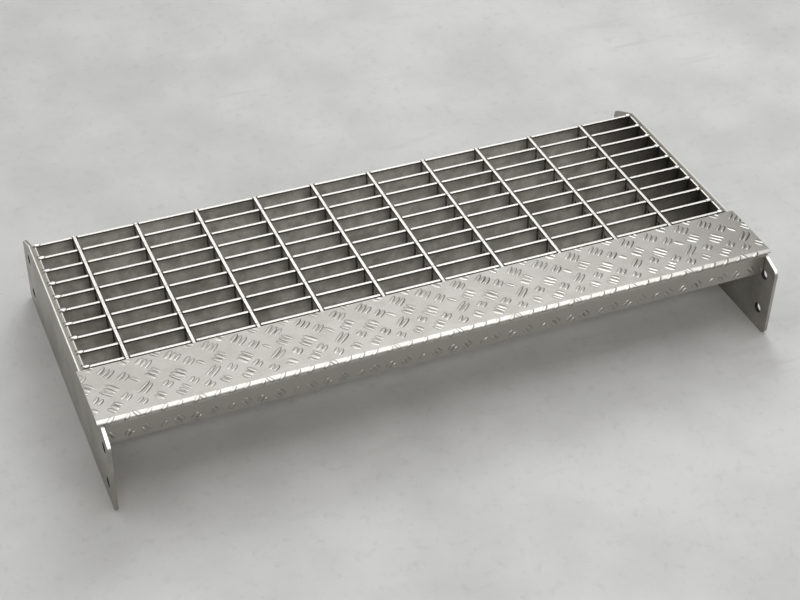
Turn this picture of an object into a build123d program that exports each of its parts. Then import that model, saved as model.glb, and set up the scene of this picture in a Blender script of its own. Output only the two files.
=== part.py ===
import os
from math import ceil, cos, radians, sin

from build123d import *

# Metal stair tread: a welded bar grating between two bolt-on end plates, with a folded
# checker-plate nosing along its front edge. Millimetres. X runs along the tread from the
# left end plate to the right one, Y runs from the front to the back, Z is up. The origin
# lies on the floor, midway between the end plates and midway between their ends.

# End plates
tread_length = 800.0  # over the outer faces of the two end plates
plate_thickness = 4.0
plate_depth = 390.0  # front edge to rear edge
plate_height = 104.0  # bottom edge to top edge
front_taper_run = 32.0
front_taper_drop = 11.0
rear_taper_run = 40.0
rear_taper_drop = 19.0
taper_corner_radius = 8.0
bottom_corner_radius = 8.0

# Bolt holes, four in each end plate
bolt_hole_diameter = 11.0
bolt_spacing_height = 50.0
front_bolt_margin = 20.0  # from the plate's front edge
rear_bolt_margin = 30.0  # from the plate's rear edge
lower_bolt_margin = 27.0  # from the plate's bottom edge

# Bearing bars, which run from end to end
bearing_bar_count = 10
bearing_bar_pitch = 25.5
bearing_bar_thickness = 3.0
bearing_bar_height = 30.0
rear_bar_setback = 42.0  # plate rear edge to the middle of the rear bar

# Cross bars, let into the tops of the bearing bars
cross_bar_count = 10
cross_bar_pitch = 74.0
cross_bar_thickness = 3.5
cross_bar_height = 10.0
first_cross_bar_offset = 54.0  # from the left plate's outer face
cross_bar_rear_reach = 1.5  # past the rear bearing bar
notch_clearance = 0.1  # on each side of a cross bar

# Band bars, which close the ends of the bearing bars
band_thickness = 4.0

# Checker-plate nosing
nosing_gap = 6.0  # front bearing bar to the nosing's rear edge
nosing_depth = 87.0
nosing_thickness = 3.0
nosing_overhang = 3.0  # past each plate's outer face
nosing_bearing = 14.0  # length of each cross bar under the nosing
lip_height = 30.0  # from the nosing's top face to the lip's lower edge
lip_clearance = 1.0  # lip end to end plate
bend_radius = 6.0  # outside of the fold

# Raised lugs of the checker plate
lug_width = 3.8
lug_height = 1.0
lug_spacing = 5.6  # between the lugs of one group
lug_taper = 35.0  # lean of a lug's sides, in degrees
lug_tip_length = 4.5
lug_tile_length = 73.0  # the pattern repeats at this distance
lug_edge_margin = 0.8  # bare metal between a lug and the edge of its face
fold_lug_band = 14.0  # width of the band over the fold that holds its lugs
forward_lean = 43.0  # angle of a lug that runs back to the right
backward_lean = -47.0  # angle of a lug that runs back to the left

# Weld beads on the bearing bars' ends
bead_length = 6.6
bead_width = 4.2
bead_height = 1.1
bead_taper = 30.0
bead_setback = 0.4  # from the end plate's inner face

# Places worked out from the sizes above
half_length = tread_length / 2
plate_front = -plate_depth / 2
plate_rear = plate_depth / 2
plate_inner = half_length - plate_thickness
bolt_spacing_depth = plate_depth - front_bolt_margin - rear_bolt_margin
band_inner = plate_inner - band_thickness
grating_top = plate_height
rear_bar_place = plate_rear - rear_bar_setback
front_bar_place = rear_bar_place - bearing_bar_pitch * (bearing_bar_count - 1)
grating_rear = rear_bar_place + bearing_bar_thickness / 2
grating_front = front_bar_place - bearing_bar_thickness / 2
nosing_rear = grating_front - nosing_gap
nosing_front = nosing_rear - nosing_depth
nosing_top = grating_top + nosing_thickness
nosing_half_length = half_length + nosing_overhang
lip_half_length = plate_inner - lip_clearance
lip_bottom = nosing_top - lip_height
bend_top = nosing_top - bend_radius
bend_rear = nosing_front + bend_radius
bearing_bar_places = [rear_bar_place - bearing_bar_pitch * i for i in range(bearing_bar_count)]
cross_bar_places = [first_cross_bar_offset - half_length + cross_bar_pitch * i for i in range(cross_bar_count)]

# Lug groups in one tile of the pattern: distance along the tile, distance from the edge
# where the face starts, lean, number of lugs side by side and length of each
top_lug_groups = [
    (29.0, 12.5, forward_lean, 3, 17.0),
    (70.5, 12.5, forward_lean, 3, 17.0),
    (43.0, 26.0, forward_lean, 2, 16.0),
    (2.5, 31.5, backward_lean, 3, 16.0),
    (26.0, 42.5, backward_lean, 3, 19.0),
    (54.0, 33.0, backward_lean, 1, 15.0),
    (62.0, 50.5, forward_lean, 2, 23.0),
    (10.5, 53.0, forward_lean, 2, 12.0),
    (38.0, 57.5, forward_lean, 2, 13.0),
    (72.0, 68.0, backward_lean, 2, 14.0),
    (24.0, 68.5, backward_lean, 3, 14.0),
    (52.0, 69.5, forward_lean, 2, 12.0),
]
fold_lug_groups = [
    (8.0, 7.0, forward_lean, 2, 13.0),
    (33.0, 7.0, backward_lean, 1, 12.0),
    (51.0, 7.0, forward_lean, 2, 13.0),
]
lip_lug_groups = [
    (6.0, 14.0, backward_lean, 2, 13.0),
    (24.0, 15.0, forward_lean, 2, 12.0),
    (43.0, 13.5, backward_lean, 2, 13.0),
    (62.0, 15.0, forward_lean, 1, 12.0),
]

os.makedirs("parts", exist_ok=True)


def save(piece, name):
    piece.label = name
    export_step(piece, f"parts/{name}.step")


# Bearing bars: flat bars on edge, notched from above for the cross bars
def make_bearing_bar(place):
    notch_width = cross_bar_thickness + 2 * notch_clearance
    with BuildPart() as bar:
        with BuildSketch(Plane.XZ.offset(-place - bearing_bar_thickness / 2)):
            with Locations((0, grating_top)):
                Rectangle(2 * band_inner, bearing_bar_height, align=(Align.CENTER, Align.MAX))
            with Locations([(x, grating_top) for x in cross_bar_places]):
                Rectangle(notch_width, cross_bar_height, align=(Align.CENTER, Align.MAX), mode=Mode.SUBTRACT)
        extrude(amount=bearing_bar_thickness)
    return bar.part


for number, place in enumerate(bearing_bar_places, 1):
    save(make_bearing_bar(place), f"bearing_bar_{number:02d}")


# Cross bars: they reach forward under the nosing and carry it
def make_cross_bar(place):
    rear_end = grating_rear + cross_bar_rear_reach
    front_end = nosing_rear - nosing_bearing
    with BuildPart() as bar:
        with BuildSketch(Plane.YZ.offset(place - cross_bar_thickness / 2)):
            with Locations(((rear_end + front_end) / 2, grating_top)):
                Rectangle(rear_end - front_end, cross_bar_height, align=(Align.CENTER, Align.MAX))
        extrude(amount=cross_bar_thickness)
    return bar.part


for number, place in enumerate(cross_bar_places, 1):
    save(make_cross_bar(place), f"cross_bar_{number:02d}")


# Band bars: one across each end of the grating, between the bars and the end plate
def make_end_band(low_x):
    with BuildPart() as band:
        with BuildSketch(Plane.YZ.offset(low_x)):
            with Locations(((grating_rear + grating_front) / 2, grating_top)):
                Rectangle(grating_rear - grating_front, bearing_bar_height, align=(Align.CENTER, Align.MAX))
        extrude(amount=band_thickness)
    return band.part


save(make_end_band(-plate_inner), "end_band_left")
save(make_end_band(band_inner), "end_band_right")


# End plates: the top edge falls away at both ends, and four holes take the bolts
def make_end_plate(low_x):
    bolt_pattern_y = plate_front + front_bolt_margin + bolt_spacing_depth / 2
    bolt_pattern_z = lower_bolt_margin + bolt_spacing_height / 2
    with BuildPart() as plate:
        with BuildSketch(Plane.YZ.offset(low_x)):
            with BuildLine():
                FilletPolyline(
                    (0, 0),
                    (plate_rear, 0),
                    (plate_rear, plate_height - rear_taper_drop),
                    (plate_rear - rear_taper_run, plate_height),
                    radius=(bottom_corner_radius, taper_corner_radius),
                )
                FilletPolyline(
                    (0, 0),
                    (plate_front, 0),
                    (plate_front, plate_height - front_taper_drop),
                    (plate_front + front_taper_run, plate_height),
                    radius=(bottom_corner_radius, taper_corner_radius),
                )
                Line((plate_front + front_taper_run, plate_height), (plate_rear - rear_taper_run, plate_height))
            make_face()
            with Locations((bolt_pattern_y, bolt_pattern_z)):
                with GridLocations(bolt_spacing_depth, bolt_spacing_height, 2, 2):
                    Circle(bolt_hole_diameter / 2, mode=Mode.SUBTRACT)
        extrude(amount=plate_thickness)
    return plate.part


save(make_end_plate(-half_length), "end_plate_left")
save(make_end_plate(plate_inner), "end_plate_right")


# Outline of one lug: long and narrow, with a point at each end
def draw_lug(length):
    shoulder = length / 2 - lug_tip_length
    half_width = lug_width / 2
    Polygon(
        (-length / 2, 0),
        (-shoulder, -half_width),
        (shoulder, -half_width),
        (length / 2, 0),
        (shoulder, half_width),
        (-shoulder, half_width),
    )


# Places of the lugs on a face of the given half length, between two edges in its own
# frame. Only whole lugs are kept.
def lug_places(groups, half_span, upper_edge, lower_edge):
    places = []
    for tile in range(ceil(2 * half_span / lug_tile_length) + 1):
        for along, across, lean, count, length in groups:
            for i in range(count):
                side_step = lug_spacing * (i - (count - 1) / 2)
                x = -half_span + lug_tile_length * tile + along + side_step * sin(radians(lean))
                y = upper_edge - across - side_step * cos(radians(lean))
                reach_x = abs(length / 2 * cos(radians(lean))) + lug_edge_margin
                reach_y = abs(length / 2 * sin(radians(lean))) + lug_edge_margin
                inside_ends = abs(x) + reach_x < half_span
                inside_edges = y + reach_y < upper_edge and y - reach_y > lower_edge
                if inside_ends and inside_edges:
                    places.append((x, y, lean, length))
    return places


def draw_lugs(places):
    for lean, length in sorted({place[2:] for place in places}):
        alike = [Location((x, y), lean) for x, y, *kind in places if kind == [lean, length]]
        with Locations(alike):
            draw_lug(length)


# Lugs that cross the fold: prisms square to its bisector, trimmed to a skin over the bend
fold_plane = Plane(origin=(0, bend_rear, bend_top), x_dir=(1, 0, 0), z_dir=(0, -1, 1))
with BuildPart() as fold_lugs:
    with BuildSketch(fold_plane):
        draw_lugs(lug_places(fold_lug_groups, lip_half_length, fold_lug_band / 2, -fold_lug_band / 2))
    extrude(amount=bend_radius + 2 * lug_height + fold_lug_band)
    with BuildSketch(Plane.YZ.offset(-lip_half_length)):
        with Locations((bend_rear, bend_top)):
            Rectangle(bend_radius + lug_height, fold_lug_band, align=(Align.MAX, Align.MAX))
            Rectangle(fold_lug_band, bend_radius + lug_height, align=(Align.MIN, Align.MIN))
            Circle(bend_radius + lug_height)
            Circle(bend_radius, mode=Mode.SUBTRACT)
            Rectangle(bend_radius, fold_lug_band, align=(Align.MAX, Align.MAX), mode=Mode.SUBTRACT)
            Rectangle(fold_lug_band, bend_radius, align=(Align.MIN, Align.MIN), mode=Mode.SUBTRACT)
            Rectangle(fold_lug_band, fold_lug_band, align=(Align.MIN, Align.MAX), mode=Mode.SUBTRACT)
    extrude(amount=2 * lip_half_length, mode=Mode.INTERSECT)

# Nosing: one folded sheet with its lugs rolled in. The top lies on the end plates and
# overhangs them, and the lip hangs between them.
top_face = Plane((0, nosing_rear, nosing_top))
lip_face = Plane(origin=(0, nosing_front, bend_top), x_dir=(1, 0, 0), z_dir=(0, -1, 0))
with BuildPart() as nosing:
    with BuildSketch(Plane.YZ.offset(-nosing_half_length)):
        with BuildLine():
            Polyline(
                (nosing_rear, grating_top),
                (nosing_rear, nosing_top),
                (nosing_front, nosing_top),
                (nosing_front, lip_bottom),
                (nosing_front + nosing_thickness, lip_bottom),
                (nosing_front + nosing_thickness, grating_top),
                close=True,
            )
        make_face()
    extrude(amount=2 * nosing_half_length)
    fold_edges = edges().filter_by(Axis.X)
    outer_fold = fold_edges.sort_by_distance((0, nosing_front, nosing_top))[0]
    inner_fold = fold_edges.sort_by_distance((0, nosing_front + nosing_thickness, grating_top))[0]
    fillet(outer_fold, bend_radius)
    fillet(inner_fold, bend_radius - nosing_thickness)
    with BuildSketch(Plane.XY.offset(grating_top)):
        for side in (-1, 1):
            with Locations((side * (lip_half_length + nosing_half_length) / 2, nosing_front)):
                Rectangle(nosing_half_length - lip_half_length, 2 * bend_radius)
    extrude(amount=-lip_height, mode=Mode.SUBTRACT)
    with BuildSketch(top_face):
        draw_lugs(lug_places(top_lug_groups, nosing_half_length, 0, bend_rear - nosing_rear))
    extrude(amount=lug_height, taper=lug_taper)
    with BuildSketch(lip_face):
        draw_lugs(lug_places(lip_lug_groups, lip_half_length, 0, lip_bottom - bend_top))
    extrude(amount=lug_height, taper=lug_taper)
    add(fold_lugs.part)
save(nosing.part, "checker_nosing")


# Weld beads: one on each bearing bar's end, over the band and against the end plate
def make_weld_beads(side):
    bead_x = side * (plate_inner - bead_setback - bead_length / 2)
    half_width = bead_width / 2
    waist = bead_length / 2 - half_width / 2
    with BuildPart() as beads:
        with BuildSketch(Plane.XY.offset(grating_top)):
            with Locations([(bead_x, y) for y in bearing_bar_places]):
                Polygon(
                    (-bead_length / 2, -half_width / 2),
                    (-waist, -half_width),
                    (waist, -half_width),
                    (bead_length / 2, -half_width / 2),
                    (bead_length / 2, half_width / 2),
                    (waist, half_width),
                    (-waist, half_width),
                    (-bead_length / 2, half_width / 2),
                )
        extrude(amount=bead_height, taper=bead_taper)
    return beads.part


save(make_weld_beads(-1), "weld_beads_left")
save(make_weld_beads(1), "weld_beads_right")
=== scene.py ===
import math
import random

import bmesh
import bpy
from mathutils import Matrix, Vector, noise


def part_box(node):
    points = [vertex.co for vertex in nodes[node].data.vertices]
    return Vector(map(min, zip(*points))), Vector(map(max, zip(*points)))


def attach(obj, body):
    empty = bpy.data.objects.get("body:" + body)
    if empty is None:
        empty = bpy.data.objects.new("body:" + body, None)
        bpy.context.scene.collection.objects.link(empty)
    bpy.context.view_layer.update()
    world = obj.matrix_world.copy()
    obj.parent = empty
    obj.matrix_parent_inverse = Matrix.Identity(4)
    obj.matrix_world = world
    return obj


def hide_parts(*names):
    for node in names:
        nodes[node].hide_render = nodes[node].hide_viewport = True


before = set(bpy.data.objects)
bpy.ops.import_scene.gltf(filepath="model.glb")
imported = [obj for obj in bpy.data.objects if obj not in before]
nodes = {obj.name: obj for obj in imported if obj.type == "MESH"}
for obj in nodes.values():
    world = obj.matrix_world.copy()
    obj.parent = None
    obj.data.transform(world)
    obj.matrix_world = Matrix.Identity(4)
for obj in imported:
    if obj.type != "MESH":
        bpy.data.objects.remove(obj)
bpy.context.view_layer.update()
print("stair tread: frame loaded,", len(nodes), "steel pieces")


# A socket that can be used in sums, so that shader maths reads like maths
class Link:
    def __init__(self, tree, socket):
        self.tree = tree
        self.socket = socket

    def join(self, operation, other, swapped=False):
        first, second = (other, self) if swapped else (self, other)
        return self.tree.add("ShaderNodeMath", {"operation": operation}, {0: first, 1: second})

    def __add__(self, other):
        return self.join("ADD", other)

    def __radd__(self, other):
        return self.join("ADD", other, True)

    def __sub__(self, other):
        return self.join("SUBTRACT", other)

    def __rsub__(self, other):
        return self.join("SUBTRACT", other, True)

    def __mul__(self, other):
        return self.join("MULTIPLY", other)

    def __rmul__(self, other):
        return self.join("MULTIPLY", other, True)

    def __truediv__(self, other):
        return self.join("DIVIDE", other)

    def __abs__(self):
        return self.tree.add("ShaderNodeMath", {"operation": "ABSOLUTE"}, {0: self})


class Tree:
    def __init__(self, owner):
        owner.use_nodes = True
        self.nodes = owner.node_tree.nodes
        self.links = owner.node_tree.links
        self.nodes.clear()

    def add(self, kind, settings=None, inputs=None, output=0):
        node = self.nodes.new(kind)
        for name, value in (settings or {}).items():
            if name == "stops":
                self.setStops(node.color_ramp, value)
            else:
                setattr(node, name, value)
        for name, value in (inputs or {}).items():
            if isinstance(value, Link):
                self.links.new(value.socket, node.inputs[name])
            else:
                node.inputs[name].default_value = value
        return Link(self, node.outputs[output]) if len(node.outputs) else node

    def setStops(self, ramp, stops):
        while len(ramp.elements) < len(stops):
            ramp.elements.new(1.0)
        for element, (place, level) in zip(ramp.elements, stops):
            element.position = place
            element.color = (level, level, level, 1.0)

    def cloud(self, where, scale, detail=3.0, roughness=0.55):
        return self.add("ShaderNodeTexNoise", None,
                        {"Vector": where, "Scale": scale, "Detail": detail, "Roughness": roughness})

    def ramp(self, value, stops):
        return self.add("ShaderNodeValToRGB", {"stops": stops}, {"Fac": value})

    def rise(self, value, low, high):  # 0 below low, 1 above high, smooth between
        return self.add("ShaderNodeMapRange", {"interpolation_type": "SMOOTHSTEP"},
                        {"Value": value, "From Min": low, "From Max": high})

    def band(self, value, low, high, soft):  # 1 from low to high, with soft ends
        return self.rise(value, low - soft, low) * (1 - self.rise(value, high, high + soft))

    def blendColour(self, factor, first, second):
        return self.add("ShaderNodeMix", {"data_type": "RGBA"}, {0: factor, 6: first, 7: second}, output=2)

    def largest(self, first, second):
        return self.add("ShaderNodeMath", {"operation": "MAXIMUM"}, {0: first, 1: second})

    def smallest(self, first, second):
        return self.add("ShaderNodeMath", {"operation": "MINIMUM"}, {0: first, 1: second})

    def fraction(self, value):
        return self.add("ShaderNodeMath", {"operation": "FRACT"}, {0: value})

    def root(self, value):
        return self.add("ShaderNodeMath", {"operation": "SQRT"}, {0: value})

    def stretch(self, where, factors):
        return self.add("ShaderNodeVectorMath", {"operation": "MULTIPLY"}, {0: where, 1: factors})

    def apart(self, vector):  # the three numbers of a vector
        node = self.add("ShaderNodeSeparateXYZ", None, {0: vector}).socket.node
        return [Link(self, output) for output in node.outputs]

    def upward(self):  # 1 on faces that look up
        normal = self.add("ShaderNodeNewGeometry", None, None, output=1)
        return self.rise(self.apart(normal)[2], 0.35, 0.65)

    def stored(self, name):  # a number kept at each point of a mesh
        return self.add("ShaderNodeAttribute", {"attribute_name": name}, output=2)

    def offRow(self, value, row):  # distance from the nearest bar of a row
        first, pitch = row
        part = self.fraction((value - first) / pitch + 0.5)
        return abs(part - 0.5) * pitch


def tone(red, green, blue):  # screen values from 0 to 255 as a linear colour
    return tuple(((level / 255 + 0.055) / 1.055) ** 2.4 for level in (red, green, blue)) + (1.0,)


# Camera and light
photoCamera = {
    "place": (-0.61366, -1.41261, 1.26663),
    "turn": (51.0714, -1.143, -22.7211),  # degrees
    "lens": 74.22,
    "sensor": 36.0,
}
studio = {
    # height in the room (0 floor line, 1 overhead) and brightness, behind the tread and before it
    "behind": [
        (0.0, 0.20), (0.38, 0.35), (0.50, 1.15), (0.60, 1.38), (0.68, 1.26), (0.78, 0.80), (1.0, 0.40),
    ],
    "before": [(0.0, 0.05), (0.18, 0.05), (0.42, 0.20), (0.70, 0.35), (1.0, 0.40)],
    "brightest": 2.0,  # a ramp stops at 1, so the levels above go in as shares of this
    "tint": (1.0, 0.998, 0.99, 1.0),
    "darkRight": 0.80,  # how far the room darkens towards the right
    "darkLeft": 0.17,
}
studioLamps = [
    # name, place, aim, size, power, lights surfaces, seen in reflections, colour
    ("ceilingSoftbox", (0.50, 0.35, 2.2), (0.50, 0.35, 0.0), (2.6, 2.4), 13.0, True, True, (1.0, 1.0, 1.0)),
    ("frontCard", (0.55, -2.0, 1.5), (0.20, -0.30, 0.0), (3.2, 2.5), 46.0, False, True, (1.0, 1.0, 1.0)),
    ("overCard", (0.30, -0.20, 2.4), (0.30, -0.20, 0.0), (3.4, 3.1), 58.0, False, True, (1.0, 1.0, 1.0)),
    ("frontSoft", (-0.20, -1.90, 1.85), (0.0, 0.0, 0.0), (3.0, 0.25), 18.5, True, False, (1.0, 0.98, 0.92)),
    ("windowBehind", (0.9, 2.1, 2.2), (0.0, 0.0, 0.0), (1.4, 1.0), 31.0, True, False, (0.97, 0.99, 1.0)),
    ("windowRight", (2.4, -0.45, 1.25), (0.0, 0.0, 0.0), (1.6, 1.0), 9.0, True, False, (0.98, 0.99, 1.0)),
    ("leftCard", (-1.9, 2.1, 1.0), (-0.2, 0.0, 0.1), (1.6, 1.2), 15.0, False, True, (1.0, 1.0, 1.0)),
]


def makeCamera():
    data = bpy.data.cameras.new("photoCamera")
    data.lens = photoCamera["lens"]
    data.sensor_width = photoCamera["sensor"]
    camera = bpy.data.objects.new("photoCamera", data)
    camera.location = photoCamera["place"]
    camera.rotation_euler = [math.radians(angle) for angle in photoCamera["turn"]]
    bpy.context.scene.collection.objects.link(camera)
    bpy.context.scene.camera = camera


def makeLamps():
    for name, place, aim, size, power, lights, shows, colour in studioLamps:
        data = bpy.data.lights.new(name, "AREA")
        data.shape = "RECTANGLE"
        data.size, data.size_y = size
        data.energy = power
        data.color = colour
        lamp = bpy.data.objects.new(name, data)
        lamp.location = place
        lamp.visible_diffuse = lights
        lamp.visible_glossy = shows
        lamp.rotation_euler = (Vector(aim) - Vector(place)).to_track_quat("-Z", "Y").to_euler()
        bpy.context.scene.collection.objects.link(lamp)


def roomLevels(tree, up, name):
    return tree.ramp(up, [(place, level / studio["brightest"]) for place, level in studio[name]])


def makeRoom():  # pale overhead, dark low down before the tread
    world = bpy.data.worlds.new("studioRoom")
    bpy.context.scene.world = world
    tree = Tree(world)
    across, back, up = tree.apart(tree.add("ShaderNodeTexCoord"))
    side = tree.rise(back, -0.25, 0.15)
    levels = roomLevels(tree, up, "behind") * side + roomLevels(tree, up, "before") * (1 - side)
    rightShade = tree.rise(across, 0.36, 0.66) * studio["darkRight"]
    leftShade = (1 - tree.rise(across, 0.10, 0.30)) * studio["darkLeft"]
    brightness = levels * (1 - rightShade - leftShade) * studio["brightest"]
    background = tree.add("ShaderNodeBackground", None, {"Color": studio["tint"], "Strength": brightness})
    tree.add("ShaderNodeOutputWorld", None, {"Surface": background})


# Concrete floor
floorLook = {
    "reach": 6.0,
    "pale": tone(206, 206, 205),
    "grey": tone(190, 190, 189),
    "mark": tone(150, 148, 143),
    "specks": 0.25,
    "scuffs": 0.20,
    "scuffTurn": 0.55,  # radians
    "scuffScale": (6.0, 34.0, 1.0),
    "fineMarks": 0.22,
    "roughness": 0.62,
    "bump": 0.25,
    "gloss": 0.35,
}


def concreteFinish():
    material = bpy.data.materials.new("paleConcrete")
    tree = Tree(material)
    where = tree.add("ShaderNodeTexCoord", output=3)
    broad = tree.cloud(where, 1.7, 4.0, 0.6)
    patches = tree.cloud(where, 7.0, 5.0, 0.62)
    grit = tree.cloud(where, 260.0, 2.0, 0.5)
    mottle = tree.rise(broad * 0.6 + patches * 0.4, 0.36, 0.64)
    colour = tree.blendColour(mottle, floorLook["grey"], floorLook["pale"])
    drawn = tree.add("ShaderNodeMapping", None, {
        "Vector": where, "Rotation": (0.0, 0.0, floorLook["scuffTurn"]), "Scale": floorLook["scuffScale"]})
    worn = tree.rise(tree.cloud(where, 3.3, 2.0), 0.46, 0.62)
    scuffs = tree.rise(tree.cloud(drawn, 1.0, 5.0, 0.62), 0.55, 0.70) * worn * floorLook["scuffs"]
    specks = tree.rise(grit, 0.66, 0.75) * floorLook["specks"]
    fineMarks = tree.rise(tree.cloud(where, 62.0, 4.0, 0.7), 0.52, 0.74) * floorLook["fineMarks"]
    marks = tree.largest(tree.largest(specks, scuffs), fineMarks)
    colour = tree.blendColour(marks, colour, floorLook["mark"])
    bump = tree.add("ShaderNodeBump", None, {
        "Strength": floorLook["bump"], "Distance": 0.002, "Height": patches + grit * 0.1})
    shader = tree.add("ShaderNodeBsdfPrincipled", None, {
        "Base Color": colour, "Roughness": floorLook["roughness"] + (patches - 0.5) * 0.3,
        "Normal": bump, "Specular IOR Level": floorLook["gloss"]})
    tree.add("ShaderNodeOutputMaterial", None, {"Surface": shader})
    return material


def makeFloor():
    reach = floorLook["reach"]
    mesh = bpy.data.meshes.new("concreteFloor")
    corners = [(-reach, -reach, 0), (reach, -reach, 0), (reach, reach, 0), (-reach, reach, 0)]
    mesh.from_pydata(corners, [], [(0, 1, 2, 3)])
    floor = bpy.data.objects.new("concreteFloor", mesh)
    floor.data.materials.append(concreteFinish())
    bpy.context.scene.collection.objects.link(floor)


makeCamera()
makeLamps()
makeRoom()
makeFloor()
print("stair tread: camera, room and floor made")


# Places that the finishes follow
def rowOf(kind, axis):  # middle of the first bar of a row, and the pitch of the row
    middles = [(low[axis] + high[axis]) / 2 for low, high in (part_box(kind + "_01"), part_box(kind + "_02"))]
    return middles[0], abs(middles[1] - middles[0])


bearingRow = rowOf("bearing_bar", 1)
crossRow = rowOf("cross_bar", 0)
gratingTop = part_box("bearing_bar_01")[1].z
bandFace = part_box("end_band_right")[0].x
lowCorner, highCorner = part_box("checker_nosing")
plateLow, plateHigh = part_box("end_plate_right")
boltHoles = {
    "front": plateLow.y + 0.020,
    "rear": plateHigh.y - 0.030,
    "low": plateLow.z + 0.027,
    "high": plateLow.z + 0.077,
    "radius": 0.0055,
}


# Steel, alike on every piece but for its look and its own marks
def steelFinish(name, look, marks):
    material = bpy.data.materials.new(name)
    tree = Tree(material)
    where = tree.add("ShaderNodeTexCoord", output=3)
    patches = tree.cloud(where, look["patch"], 4.0, 0.6)
    grain = tree.cloud(tree.stretch(where, look["grain"]), 1.0, 2.0, 0.5)
    streaks = look["streaks"]
    wear = tree.rise(patches * (1 - streaks) + grain * streaks, 0.38, 0.62)
    colour = tree.blendColour(wear, look["dull"], look["clean"])
    roughness = look["roughness"] + (0.5 - patches) * look["spread"]
    colour, roughness = marks(tree, where, colour, roughness)
    bump = tree.add("ShaderNodeBump", None, {
        "Strength": look["bump"], "Distance": 0.0004, "Height": grain + patches})
    shader = tree.add("ShaderNodeBsdfPrincipled", None, {
        "Base Color": colour, "Metallic": look["metallic"], "Roughness": roughness, "Normal": bump})
    tree.add("ShaderNodeOutputMaterial", None, {"Surface": shader})
    return material


# Bearing bars and cross bars
barLook = {
    "ground": tone(240, 238, 233),  # the top
    "clean": tone(228, 225, 219),
    "dull": tone(198, 194, 187),
    "under": tone(44, 41, 37),  # painted shade: the line under a top edge, and the darkening below it and deep in the cells
    "gapAndShade": tone(52, 49, 44),  # on a bearing bar: the dark gap beside each cross bar, and the painted shade in the corner to its left
    "darkening": tone(92, 89, 83),  # on a cross bar, beside each bearing bar
    "darkEnd": tone(88, 84, 76),  # painted shade on the sides of the last cells, at the right end; also the colour of the random stains
    "darkFrom": 0.285,
    "darkTo": 0.400,
    "metallic": 0.75,
    "roughness": 0.34,
    "spread": 0.18,
    "patch": 55.0,
    "grain": (30.0, 900.0, 900.0),
    "streaks": 0.12,
    "bump": 0.05,
}


# Ground top; painted shade on the sides: a dark line under the top edge, a darkening below it and deep in the
# cells, and darker sides towards the right end
def barSides(tree, where, colour, roughness):
    x, y, z = tree.apart(where)
    depth = gratingTop - z
    top = 1 - tree.rise(depth, 0.0001, 0.0005)
    # painted shade: a dark line under the top edge, a fading darkening below it, and a darkening deep in the
    # cells
    line = tree.band(depth, 0.0012, 0.0024, 0.0006) * 0.85
    upperFade = (1 - tree.rise(depth, 0.002, 0.009)) * 0.28
    lowerFade = tree.rise(depth, 0.0155, 0.0195) * 0.38
    paintedCellShade = tree.largest(line, tree.largest(upperFade, lowerFade))
    stains = tree.rise(tree.cloud(where, 24.0, 2.0), 0.52, 0.68) * 0.28
    # painted shade: the sides darken towards the right end
    paintedRightShade = tree.rise(x, barLook["darkFrom"], barLook["darkTo"]) * 0.85
    colour = tree.blendColour(tree.largest(paintedRightShade, stains), colour, barLook["darkEnd"])
    colour = tree.blendColour(paintedCellShade, colour, barLook["under"])
    return tree.blendColour(top, colour, barLook["ground"]), roughness + line * 0.15 - top * 0.12


# A dark gap at each cross bar, and a shaded corner to the left of it
def bearingMarks(tree, where, colour, roughness):
    colour, roughness = barSides(tree, where, colour, roughness)
    x, y, z = tree.apart(where)
    first, pitch = crossRow
    gapAndShade = tree.band(tree.offRow(x, crossRow), 0.0010, 0.0032, 0.0006) * 0.9
    beside = tree.fraction((x - first) / pitch + 1) * pitch
    # painted shade in the corner to the left of each cross bar, below the top
    corner = tree.rise(beside, pitch - 0.016, pitch - 0.001) * 0.55
    corner = corner * tree.rise(gratingTop - z, 0.0006, 0.0016)
    gapAndShade = tree.largest(gapAndShade, corner)
    return tree.blendColour(gapAndShade, colour, barLook["gapAndShade"]), roughness + gapAndShade * 0.2


def crossMarks(tree, where, colour, roughness):  # darker, in broken patches, where a bearing bar meets the side
    colour, roughness = barSides(tree, where, colour, roughness)
    away = tree.offRow(tree.apart(where)[1], bearingRow)
    broken = tree.rise(tree.cloud(where, 260.0, 2.0), 0.42, 0.60)
    darkening = tree.band(away, 0.0014, 0.0022, 0.0007) * broken * 0.55
    return tree.blendColour(darkening, colour, barLook["darkening"]), roughness + darkening * 0.2


# End bands
bandLook = {
    "edge": tone(240, 238, 233),  # painted highlight on the inner edge of the top
    "highlightEdge": (0.0010, 0.0018),  # where it ends, from the band's inner face
    "top": tone(150, 147, 140),
    "soot": tone(62, 59, 54),
    "clean": tone(190, 188, 182),
    "dull": tone(150, 147, 140),
    "metallic": 0.75,
    "roughness": 0.36,
    "spread": 0.18,
    "patch": 140.0,
    "grain": (900.0, 60.0, 900.0),
    "streaks": 0.3,
    "bump": 0.08,
}


def bandMarks(tree, where, colour, roughness):  # painted highlight on the inner edge, soot beside each weld, and painted shade on the sides at the right end
    x, y, z = tree.apart(where)
    upward = tree.upward()
    near, far = bandLook["highlightEdge"]
    # painted highlight along the inner edge of the band's top
    inner = 1 - tree.rise(abs(x), bandFace + near, bandFace + far)
    soot = tree.band(tree.offRow(y, bearingRow), 0.0024, 0.0036, 0.0008) * upward * 0.75
    # painted shade: the band's sides darken towards the right end
    paintedRightShade = tree.rise(x, barLook["darkFrom"], barLook["darkTo"]) * (1 - upward) * 0.8
    colour = tree.blendColour(upward * (1 - inner), colour, bandLook["top"])
    colour = tree.blendColour(upward * inner, colour, bandLook["edge"])
    colour = tree.blendColour(paintedRightShade, colour, barLook["darkEnd"])
    return tree.blendColour(soot, colour, bandLook["soot"]), roughness + soot * 0.2


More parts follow.
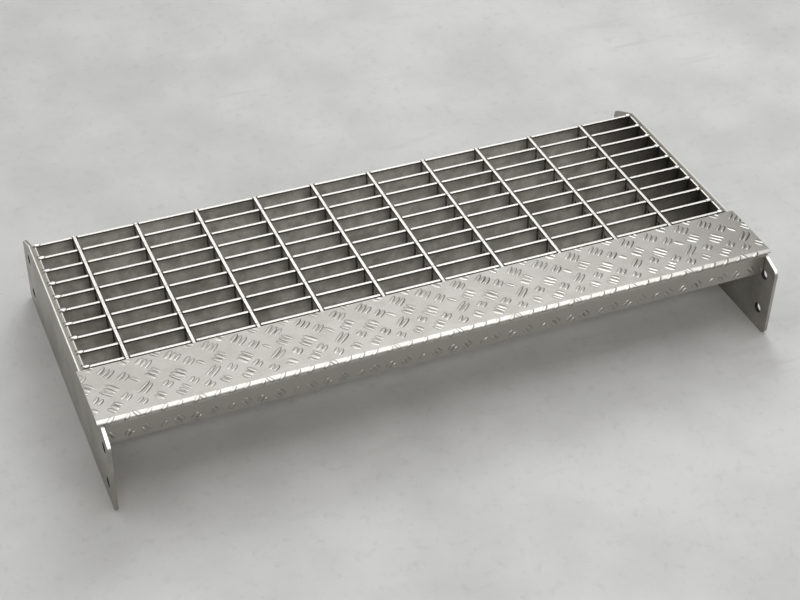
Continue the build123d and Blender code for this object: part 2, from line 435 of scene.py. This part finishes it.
# End plates
plateLook = {
    "edgeHighlight": tone(236, 234, 228),  # painted highlight on the outer edge of the top
    "highlightEdge": (0.0010, 0.0018),  # where it ends, from the plate's outer face
    "highlightFront": (0.027, 0.035),  # the highlight is painted all across the top as far as this from the front
    "top": tone(146, 143, 136),
    # painted shade inside the bolt holes
    "holeWall": tone(30, 28, 25),
    "clean": tone(168, 165, 158),
    "dull": tone(149, 146, 139),
    "metallic": 0.7,
    "roughness": 0.42,
    "spread": 0.12,
    "patch": 22.0,
    "grain": (900.0, 60.0, 700.0),
    "streaks": 0.3,
    "bump": 0.04,
}


def plateMarks(tree, where, colour, roughness):  # painted highlights on the top's outer edge and front, and painted shade inside the holes
    x, y, z = tree.apart(where)
    sideways = tree.smallest(abs(y - boltHoles["front"]), abs(y - boltHoles["rear"]))
    upright = tree.smallest(abs(z - boltHoles["low"]), abs(z - boltHoles["high"]))
    reach = tree.root(sideways * sideways + upright * upright)
    # painted shade on the walls of the bolt holes
    inside = 1 - tree.rise(reach, boltHoles["radius"] + 0.0004, boltHoles["radius"] + 0.0012)
    upward = tree.upward()
    near, far = plateLook["highlightEdge"]
    # painted highlight along the outer edge of the top and across its front
    outer = tree.rise(abs(x), plateHigh.x - far, plateHigh.x - near)
    highlightMask = tree.largest(outer, 1 - tree.rise(y - plateLow.y, *plateLook["highlightFront"]))
    colour = tree.blendColour(upward * (1 - highlightMask), colour, plateLook["top"])
    colour = tree.blendColour(upward * highlightMask, colour, plateLook["edgeHighlight"])
    return tree.blendColour(inside, colour, plateLook["holeWall"]), roughness + inside * 0.2


# Checker plate
checkerLook = {
    "clean": tone(187, 185, 180),
    "dull": tone(177, 174, 169),
    "lip": tone(158, 155, 149),  # painted shade: the lip gets a darker copy of the top's colour
    # painted highlight on one side of the lugs
    "highlightColour": tone(246, 245, 241),
    # painted shade round the lugs and under the fold
    "paintedShade": tone(48, 45, 40),
    "foldLine": 0.0038,  # painted shade: the dark line under the fold, below the tops of the lugs
    "darkEnd": tone(112, 109, 104),  # the right end, away from the light
    "darkFrom": 0.20,
    "darkTo": 0.44,
    "metallic": 0.8,
    "roughness": 0.30,
    "spread": 0.10,
    "patch": 40.0,
    "grain": (60.0, 700.0, 700.0),
    "streaks": 0.3,
    "bump": 0.06,
}


def lugMarks(tree, where, colour, roughness):  # painted shade on the right-facing side of each lug and a painted highlight on the other; painted shade on the lip, under the fold and at the right end
    foot = tree.stored("foot")
    x, y, z = tree.apart(where)
    fold = highCorner.z - checkerLook["foldLine"]
    # painted shade: a dark line under the fold
    line = tree.band(z, fold - 0.0008, fold + 0.0002, 0.0010) * 0.55
    onTop = tree.rise(z, fold - 0.004, fold)
    # painted shade on the top towards the right end
    paintedRightShade = tree.rise(x, checkerLook["darkFrom"], checkerLook["darkTo"]) * onTop * 0.45
    # painted shade round the lugs and under the fold
    darkening = tree.largest(tree.largest(foot, 0.0) * 0.9, line)
    # painted highlight on one side of the lugs
    paintedHighlight = tree.largest(foot * -1, 0.0)
    # painted shade: the lip below the fold is darker than the top
    colour = tree.blendColour(1 - onTop, colour, checkerLook["lip"])
    colour = tree.blendColour(paintedRightShade, colour, checkerLook["darkEnd"])
    colour = tree.blendColour(paintedHighlight, colour, checkerLook["highlightColour"])
    return tree.blendColour(darkening, colour, checkerLook["paintedShade"]), roughness + darkening * 0.2 - paintedHighlight * 0.06


# Weld beads
weldLook = {
    "clean": tone(248, 247, 243),
    "dull": tone(214, 211, 204),
    "soot": tone(60, 57, 52),
    "metallic": 0.8,
    "roughness": 0.3,
    "spread": 0.2,
    "patch": 420.0,
    "grain": (900.0, 900.0, 900.0),
    "streaks": 0.3,
    "bump": 0.12,
}


def weldMarks(tree, where, colour, roughness):  # soot round each bead
    foot = tree.stored("foot")
    return tree.blendColour(foot * 0.85, colour, weldLook["soot"]), roughness + foot * 0.2


finishes = {
    "bearing": ("bar_steel", steelFinish("bearingBarSteel", barLook, bearingMarks)),
    "cross": ("bar_steel", steelFinish("crossBarSteel", barLook, crossMarks)),
    "band": ("bar_steel", steelFinish("endBandSteel", bandLook, bandMarks)),
    "plate": ("plate_steel", steelFinish("plateSteel", plateLook, plateMarks)),
    "checker": ("checker_steel", steelFinish("checkerSteel", checkerLook, lugMarks)),
    "weld": ("weld_metal", steelFinish("weldMetal", weldLook, weldMarks)),
}
print("stair tread: steel finishes made")


def keepPiece(name, mesh, finish, replaced, smoothAngle=40.0):
    data = bpy.data.meshes.new(name)
    mesh.to_mesh(data)
    mesh.free()
    data.shade_smooth()
    data.set_sharp_from_angle(angle=math.radians(smoothAngle))
    slot, material = finishes[finish]
    data.materials.append(material)
    piece = bpy.data.objects.new(name, data)
    bpy.context.scene.collection.objects.link(piece)
    weighted = piece.modifiers.new("flatFaces", "WEIGHTED_NORMAL")
    weighted.keep_sharp = True
    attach(piece, "root")
    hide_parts(replaced)


def roundEdges(mesh, width, steps=2, least=35.0):
    sharp = [edge for edge in mesh.edges if edge.is_manifold and edge.calc_face_angle() > math.radians(least)]
    bmesh.ops.bevel(mesh, geom=sharp, offset=width, segments=steps, profile=0.5,
                    affect="EDGES", clamp_overlap=True)


# Flat bars and plates: the frame's own solids with the sheared or sawn edges taken off
edgeLook = {
    # start of a node's name: its finish and the width of the broken edge
    "bearing_bar": ("bearing", 0.0003),
    "cross_bar": ("cross", 0.0004),
    "end_band": ("band", 0.0009),
    "end_plate": ("plate", 0.0008),
}


def softenNode(nodeName, width, finish):
    mesh = bmesh.new()
    mesh.from_mesh(nodes[nodeName].data)
    bmesh.ops.remove_doubles(mesh, verts=mesh.verts, dist=0.000002)
    bmesh.ops.dissolve_limit(mesh, angle_limit=math.radians(0.5), verts=mesh.verts, edges=mesh.edges)
    roundEdges(mesh, width)
    keepPiece(nodeName + "_finished", mesh, finish, nodeName)


for nodeName in sorted(nodes):
    for start, (finish, width) in edgeLook.items():
        if nodeName.startswith(start):
            softenNode(nodeName, width, finish)
print("stair tread: bars, bands and end plates finished")


# Checker-plate nosing: a folded sheet, laid out flat and then bent, lugs and all
nosingLook = {
    "thickness": 0.003,
    "bend": 0.006,
    "bendSteps": 9,
    "tabSteps": 6,  # the ends, which rest on the plates, are folded this far
    "lipGap": 0.001,  # between the lip and an end plate
    "edge": 0.0003,
}
lugLook = {
    "height": 0.001,
    "width": 0.0044,
    "spacing": 0.0056,
    "tile": 0.073,
    "forward": 43.0,  # degrees
    "backward": -47.0,
    "foldRow": 0.0857,  # from the rear edge, measured along the sheet
    "lipRow": 0.0904,
    "sunk": 0.0004,
    "skirt": 0.00004,  # how far the painted shade round a lug stands off the sheet
    "bareRim": 0.0006,  # no lug comes nearer to an edge than this
    "pastEnd": 0.006,  # a lug whose middle lies further out is left off
    "steps": 8,
    # across a lug, in half widths: sunk rim, flat skirt that holds the painted shade, sloping side, crown,
    # and again
    "ribs": (-1.36, -1.34, -1.0, -0.84, -0.58, 0.0, 0.58, 0.84, 1.0, 1.34, 1.36),
    "slipAlong": 0.0012,  # how far a group strays
    "slipAcross": 0.0008,
    "turnSpread": 0.07,  # radians
    "lengths": (0.85, 1.08),
    "widths": (0.80, 1.08),
    "heights": (0.6, 1.0),
    # strength of the painted shade on forward and on backward lugs
    "forwardDirt": (0.25, 1.0),
    "backwardDirt": (0.55, 1.0),
}

# Lug groups of one tile: along, across, lean, number side by side, length (millimetres)
ahead, aback = "forward", "backward"
topGroups = [
    (29.0, 12.5, ahead, 3, 17.0), (70.5, 12.5, ahead, 3, 17.0), (43.0, 26.0, ahead, 2, 16.0),
    (2.5, 31.5, aback, 3, 16.0), (26.0, 42.5, aback, 3, 19.0), (54.0, 33.0, aback, 1, 15.0),
    (62.0, 50.5, ahead, 2, 23.0), (10.5, 53.0, ahead, 2, 12.0), (38.0, 57.5, ahead, 2, 13.0),
    (72.0, 68.0, aback, 2, 14.0), (24.0, 68.5, aback, 3, 14.0), (52.0, 69.5, ahead, 2, 12.0),
    (49.0, 1.5, aback, 2, 14.0), (12.0, 0.5, aback, 2, 13.0),
]
foldGroups = [
    (6.0, 0.0, ahead, 1, 14.0), (24.0, 0.5, ahead, 1, 12.0), (33.0, -1.5, aback, 1, 11.0),
    (47.0, 0.0, ahead, 1, 14.0), (64.0, -0.5, ahead, 1, 12.0),
]
lipGroups = [
    (6.0, 16.5, aback, 2, 13.0), (24.0, 17.5, ahead, 2, 11.0), (43.0, 16.5, aback, 2, 12.0),
    (62.0, 17.0, ahead, 1, 11.0),
]

sheetTop = highCorner.z - lugLook["height"]
sheetFront = lowCorner.y + lugLook["height"]
sheetRear = highCorner.y
sheetHalf = highCorner.x
lipHalf = plateLow.x - nosingLook["lipGap"]
foldY = sheetFront + nosingLook["bend"]
foldZ = sheetTop - nosingLook["bend"]
flatRun = sheetRear - foldY
foldRun = nosingLook["bend"] * math.pi / 2
sheetRun = flatRun + foldRun + foldZ - lowCorner.z


def onSheet(along, across, height):  # a point of the flat sheet, after folding
    if across <= flatRun:
        return Vector((along, sheetRear - across, sheetTop + height))
    if across <= flatRun + foldRun:
        angle = (across - flatRun) / nosingLook["bend"]
        reach = nosingLook["bend"] + height
        return Vector((along, foldY - reach * math.sin(angle), foldZ + reach * math.cos(angle)))
    return Vector((along, sheetFront - height, foldZ - (across - flatRun - foldRun)))


def addSheet(mesh):  # four outlines along the sheet, joined by long faces
    thick = -nosingLook["thickness"]
    steps, tabSteps = nosingLook["bendSteps"], nosingLook["tabSteps"]
    arc = [flatRun + foldRun * i / steps for i in range(steps + 1)]
    tab = [(0.0, thick), (0.0, 0.0)] + [(s, 0.0) for s in arc[:tabSteps + 1]] + [(flatRun, thick)]
    lower = [(s, 0.0) for s in arc[tabSteps + 1:]] + [(sheetRun, 0.0), (sheetRun, thick)]
    lower += [(s, thick) for s in arc[:0:-1]]
    whole = tab[:-1] + lower + tab[-1:]
    bent = tab + lower
    columns = []
    for along, points in ((-sheetHalf, tab), (-lipHalf, bent), (lipHalf, bent), (sheetHalf, tab)):
        columns.append({point: mesh.verts.new(onSheet(along, *point)) for point in points})
    for left, right, loop in ((0, 1, tab), (1, 2, whole), (2, 3, tab)):
        for first, second in zip(loop, loop[1:] + loop[:1]):
            corners = [(left, first), (left, second), (right, second), (right, first)]
            mesh.faces.new([columns[column][point] for column, point in corners])
    for column in (0, 3):
        mesh.faces.new([columns[column][point] for point in tab])
    for column in (1, 2):
        mesh.faces.new([columns[column][point] for point in [tab[-2]] + lower + [tab[-1]]])
    bmesh.ops.recalc_face_normals(mesh, faces=mesh.faces)
    roundEdges(mesh, nosingLook["edge"])


def lugHeight(rib, crown, isEnd):  # the rim and both tips go down into the sheet
    if isEnd or abs(rib) > 1.35:
        return -lugLook["sunk"]
    return crown * max(0.0, 1.0 - abs(rib) ** 4) ** 0.8 + lugLook["skirt"]


def lugPaintedLight(rib, lug, isEnd):  # above 0 is painted shade, below 0 is painted highlight
    if isEnd:
        return lug["paintedShade"]
    leansForward = lug["turn"] > 0
    if (rib if leansForward else -rib) > 0:  # the side that faces right gets painted shade
        return lug["paintedShade"] * min(1.0, max(0.0, abs(rib) - 0.5) / (0.4 if leansForward else 0.2))
    if abs(rib) >= 1.0:
        return lug["paintedShade"] * 0.25
    return -lug["paintedHighlight"] * max(0.0, 1 - abs(abs(rib) - 0.8) / 0.35)


def shapeLug(along, across, lug):  # one lug on the flat sheet, closed below
    shape = bmesh.new()
    foot = shape.verts.layers.float.new("foot")
    steps, ribs = lugLook["steps"], lugLook["ribs"]
    cosTurn, sinTurn = math.cos(lug["turn"]), math.sin(lug["turn"])
    rows = []
    for i in range(steps + 1):
        t = -1.0 + 2.0 * i / steps
        isEnd = i in (0, steps)
        halfWidth = lug["width"] / 2 * max(0.10, (1.0 - abs(t) ** 2.4) ** 0.72)
        crown = (lug["height"] - lugLook["skirt"]) * (1.0 - abs(t) ** 4) ** 0.5
        x = t * lug["length"] / 2
        row = []
        for rib in ribs:
            y = rib * halfWidth
            u = along + x * cosTurn + y * sinTurn
            s = across - x * sinTurn + y * cosTurn
            vertex = shape.verts.new((u, s, lugHeight(rib, crown, isEnd)))
            vertex[foot] = lugPaintedLight(rib, lug, isEnd)
            row.append(vertex)
        rows.append(row)
    for low, high in zip(rows, rows[1:]):
        for k in range(len(ribs) - 1):
            shape.faces.new((low[k], low[k + 1], high[k + 1], high[k]))
    rim = [row[0] for row in rows] + rows[-1][1:] + [row[-1] for row in rows[-2::-1]] + rows[0][-2:0:-1]
    shape.faces.new(rim)
    return shape


def trimLug(shape):  # lugs are sheared off short of the sheet's edges
    bareRim = lugLook["bareRim"]
    lowS = min(vertex.co.y for vertex in shape.verts)
    highS = max(vertex.co.y for vertex in shape.verts)
    halfSpan = (sheetHalf if highS < flatRun else lipHalf) - bareRim
    cuts = [((halfSpan, 0, 0), (1, 0, 0)), ((-halfSpan, 0, 0), (-1, 0, 0))]
    if lowS < bareRim:
        cuts.append(((0, bareRim, 0), (0, -1, 0)))
    if highS > sheetRun - bareRim:
        cuts.append(((0, sheetRun - bareRim, 0), (0, 1, 0)))
    for place, normal in cuts:
        geometry = shape.verts[:] + shape.edges[:] + shape.faces[:]
        bmesh.ops.bisect_plane(shape, geom=geometry, dist=1e-7, plane_co=place, plane_no=normal,
                               clear_outer=True)
        bmesh.ops.holes_fill(shape, edges=[edge for edge in shape.edges if edge.is_boundary], sides=0)


def foldLug(mesh, shape):  # bends a flat lug with the sheet and adds it to the rest
    foot, meshFoot = shape.verts.layers.float["foot"], mesh.verts.layers.float["foot"]
    copies = {vertex: mesh.verts.new(onSheet(*vertex.co)) for vertex in shape.verts}
    for vertex, copy in copies.items():
        copy[meshFoot] = vertex[foot]
    for face in shape.faces:
        mesh.faces.new([copies[vertex] for vertex in face.verts])
    shape.free()


def addLugs(mesh, groups, halfSpan, start, paintedShade, paintedHighlight):
    chance = random.Random(len(groups))
    tile, slipAlong, slipAcross = lugLook["tile"], lugLook["slipAlong"], lugLook["slipAcross"]
    for number in range(-1, math.ceil(2 * halfSpan / tile) + 1):
        for along, across, lean, count, length in groups:
            angle = math.radians(lugLook[lean])
            slipU, slipS = chance.uniform(-slipAlong, slipAlong), chance.uniform(-slipAcross, slipAcross)
            strength = chance.uniform(*lugLook[lean + "Dirt"])
            leastHighlight = 0.15 if lean == "forward" else -0.45  # the least share of painted highlight; below 0 a lug gets painted shade there instead
            for i in range(count):
                step = lugLook["spacing"] * (i - (count - 1) / 2)
                u = -halfSpan + tile * number + along / 1000 + step * math.sin(angle) + slipU
                s = start + across / 1000 + step * math.cos(angle) + slipS
                highlightShare = min(1.0, max(leastHighlight, (u + 0.05) / 0.3))  # share of the painted highlight, full towards the right end
                if abs(u) < halfSpan + lugLook["pastEnd"]:
                    shape = shapeLug(u, s, {
                        "turn": angle + chance.uniform(-lugLook["turnSpread"], lugLook["turnSpread"]),
                        "length": length / 1000 * chance.uniform(*lugLook["lengths"]),
                        "width": lugLook["width"] * chance.uniform(*lugLook["widths"]),
                        "height": lugLook["height"] * chance.uniform(*lugLook["heights"]),
                        "paintedShade": paintedShade * strength * chance.uniform(0.6, 1.0),
                        "paintedHighlight": paintedHighlight * chance.uniform(0.1, 1.0) * highlightShare,
                    })
                    trimLug(shape)
                    foldLug(mesh, shape)


def makeNosing():
    mesh = bmesh.new()
    addSheet(mesh)
    lugs = bmesh.new()
    lugs.verts.layers.float.new("foot")
    addLugs(lugs, topGroups, sheetHalf, 0.0, 1.0, 0.8)
    addLugs(lugs, foldGroups, lipHalf, lugLook["foldRow"], 0.6, 0.6)
    addLugs(lugs, lipGroups, lipHalf, lugLook["lipRow"], 0.45, 0.5)
    bmesh.ops.recalc_face_normals(lugs, faces=lugs.faces)
    lugMesh = bpy.data.meshes.new("lugs")
    lugs.to_mesh(lugMesh)
    lugs.free()
    mesh.from_mesh(lugMesh)
    keepPiece("checker_nosing_finished", mesh, "checker", "checker_nosing", 50.0)


makeNosing()
print("stair tread: checker nosing folded")


# Weld beads: a small lump of weld on the end of each bearing bar
beadLook = {
    "length": 0.0100,
    "width": 0.0054,
    "height": 0.0019,
    "sunk": 0.0006,
    "inward": 0.0018,  # towards the middle of the tread
    "rings": 6,
    "spokes": 18,
    "lumps": 0.16,
    "ripple": 0.12,
    "ripples": 4200,  # radians in a metre
}
beadSides = {"left": (1, 20), "right": (-1, 50)}  # which way is inward, and the first seed


def addBead(mesh, x, y, z, seed):
    foot = mesh.verts.layers.float["foot"]
    chance = random.Random(seed)
    rings, spokes = beadLook["rings"], beadLook["spokes"]
    shift = Vector((seed * 3.1, seed * 1.7, 0.0))
    length = beadLook["length"] * chance.uniform(0.88, 1.0)
    width = beadLook["width"] * chance.uniform(0.85, 1.1)
    height = beadLook["height"] * chance.uniform(0.75, 1.0)
    top = mesh.verts.new((x, y, z + height * 0.95))
    previous = [top]
    for ring in range(1, rings + 1):
        radius = ring / rings
        row = []
        for spoke in range(spokes):
            angle = 2 * math.pi * spoke / spokes
            lump = noise.noise(Vector((math.cos(angle), math.sin(angle), 0)) * 1.6 + shift)
            reach = radius * (1.0 + beadLook["lumps"] * lump)
            px = reach * length / 2 * math.cos(angle)
            py = reach * width / 2 * math.sin(angle)
            ripple = 0.95 - beadLook["ripple"] * math.cos(px * beadLook["ripples"] + seed)
            rise = height * (1 - radius ** 2) ** 0.5 * ripple if ring < rings else -beadLook["sunk"]
            vertex = mesh.verts.new((x + px, y + py, z + rise))
            vertex[foot] = max(0.0, radius - 0.75) / 0.25
            row.append(vertex)
        for k in range(spokes):
            following = (k + 1) % spokes
            if ring == 1:
                mesh.faces.new((top, row[k], row[following]))
            else:
                mesh.faces.new((previous[k], row[k], row[following], previous[following]))
        previous = row
    mesh.faces.new(previous[::-1])


def layBeads(side):
    nodeName = "weld_beads_" + side
    low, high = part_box(nodeName)
    inward, firstSeed = beadSides[side]
    x = (low.x + high.x) / 2 + beadLook["inward"] * inward
    mesh = bmesh.new()
    mesh.verts.layers.float.new("foot")
    bars = sorted(name for name in nodes if name.startswith("bearing_bar"))
    for i, bar in enumerate(bars):
        barLow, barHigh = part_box(bar)
        addBead(mesh, x, (barLow.y + barHigh.y) / 2, low.z, firstSeed + i)
    keepPiece(nodeName + "_finished", mesh, "weld", nodeName, 60.0)


for side in beadSides:
    layBeads(side)
print("stair tread: weld beads laid")

bpy.context.scene.view_settings.view_transform = "Standard"
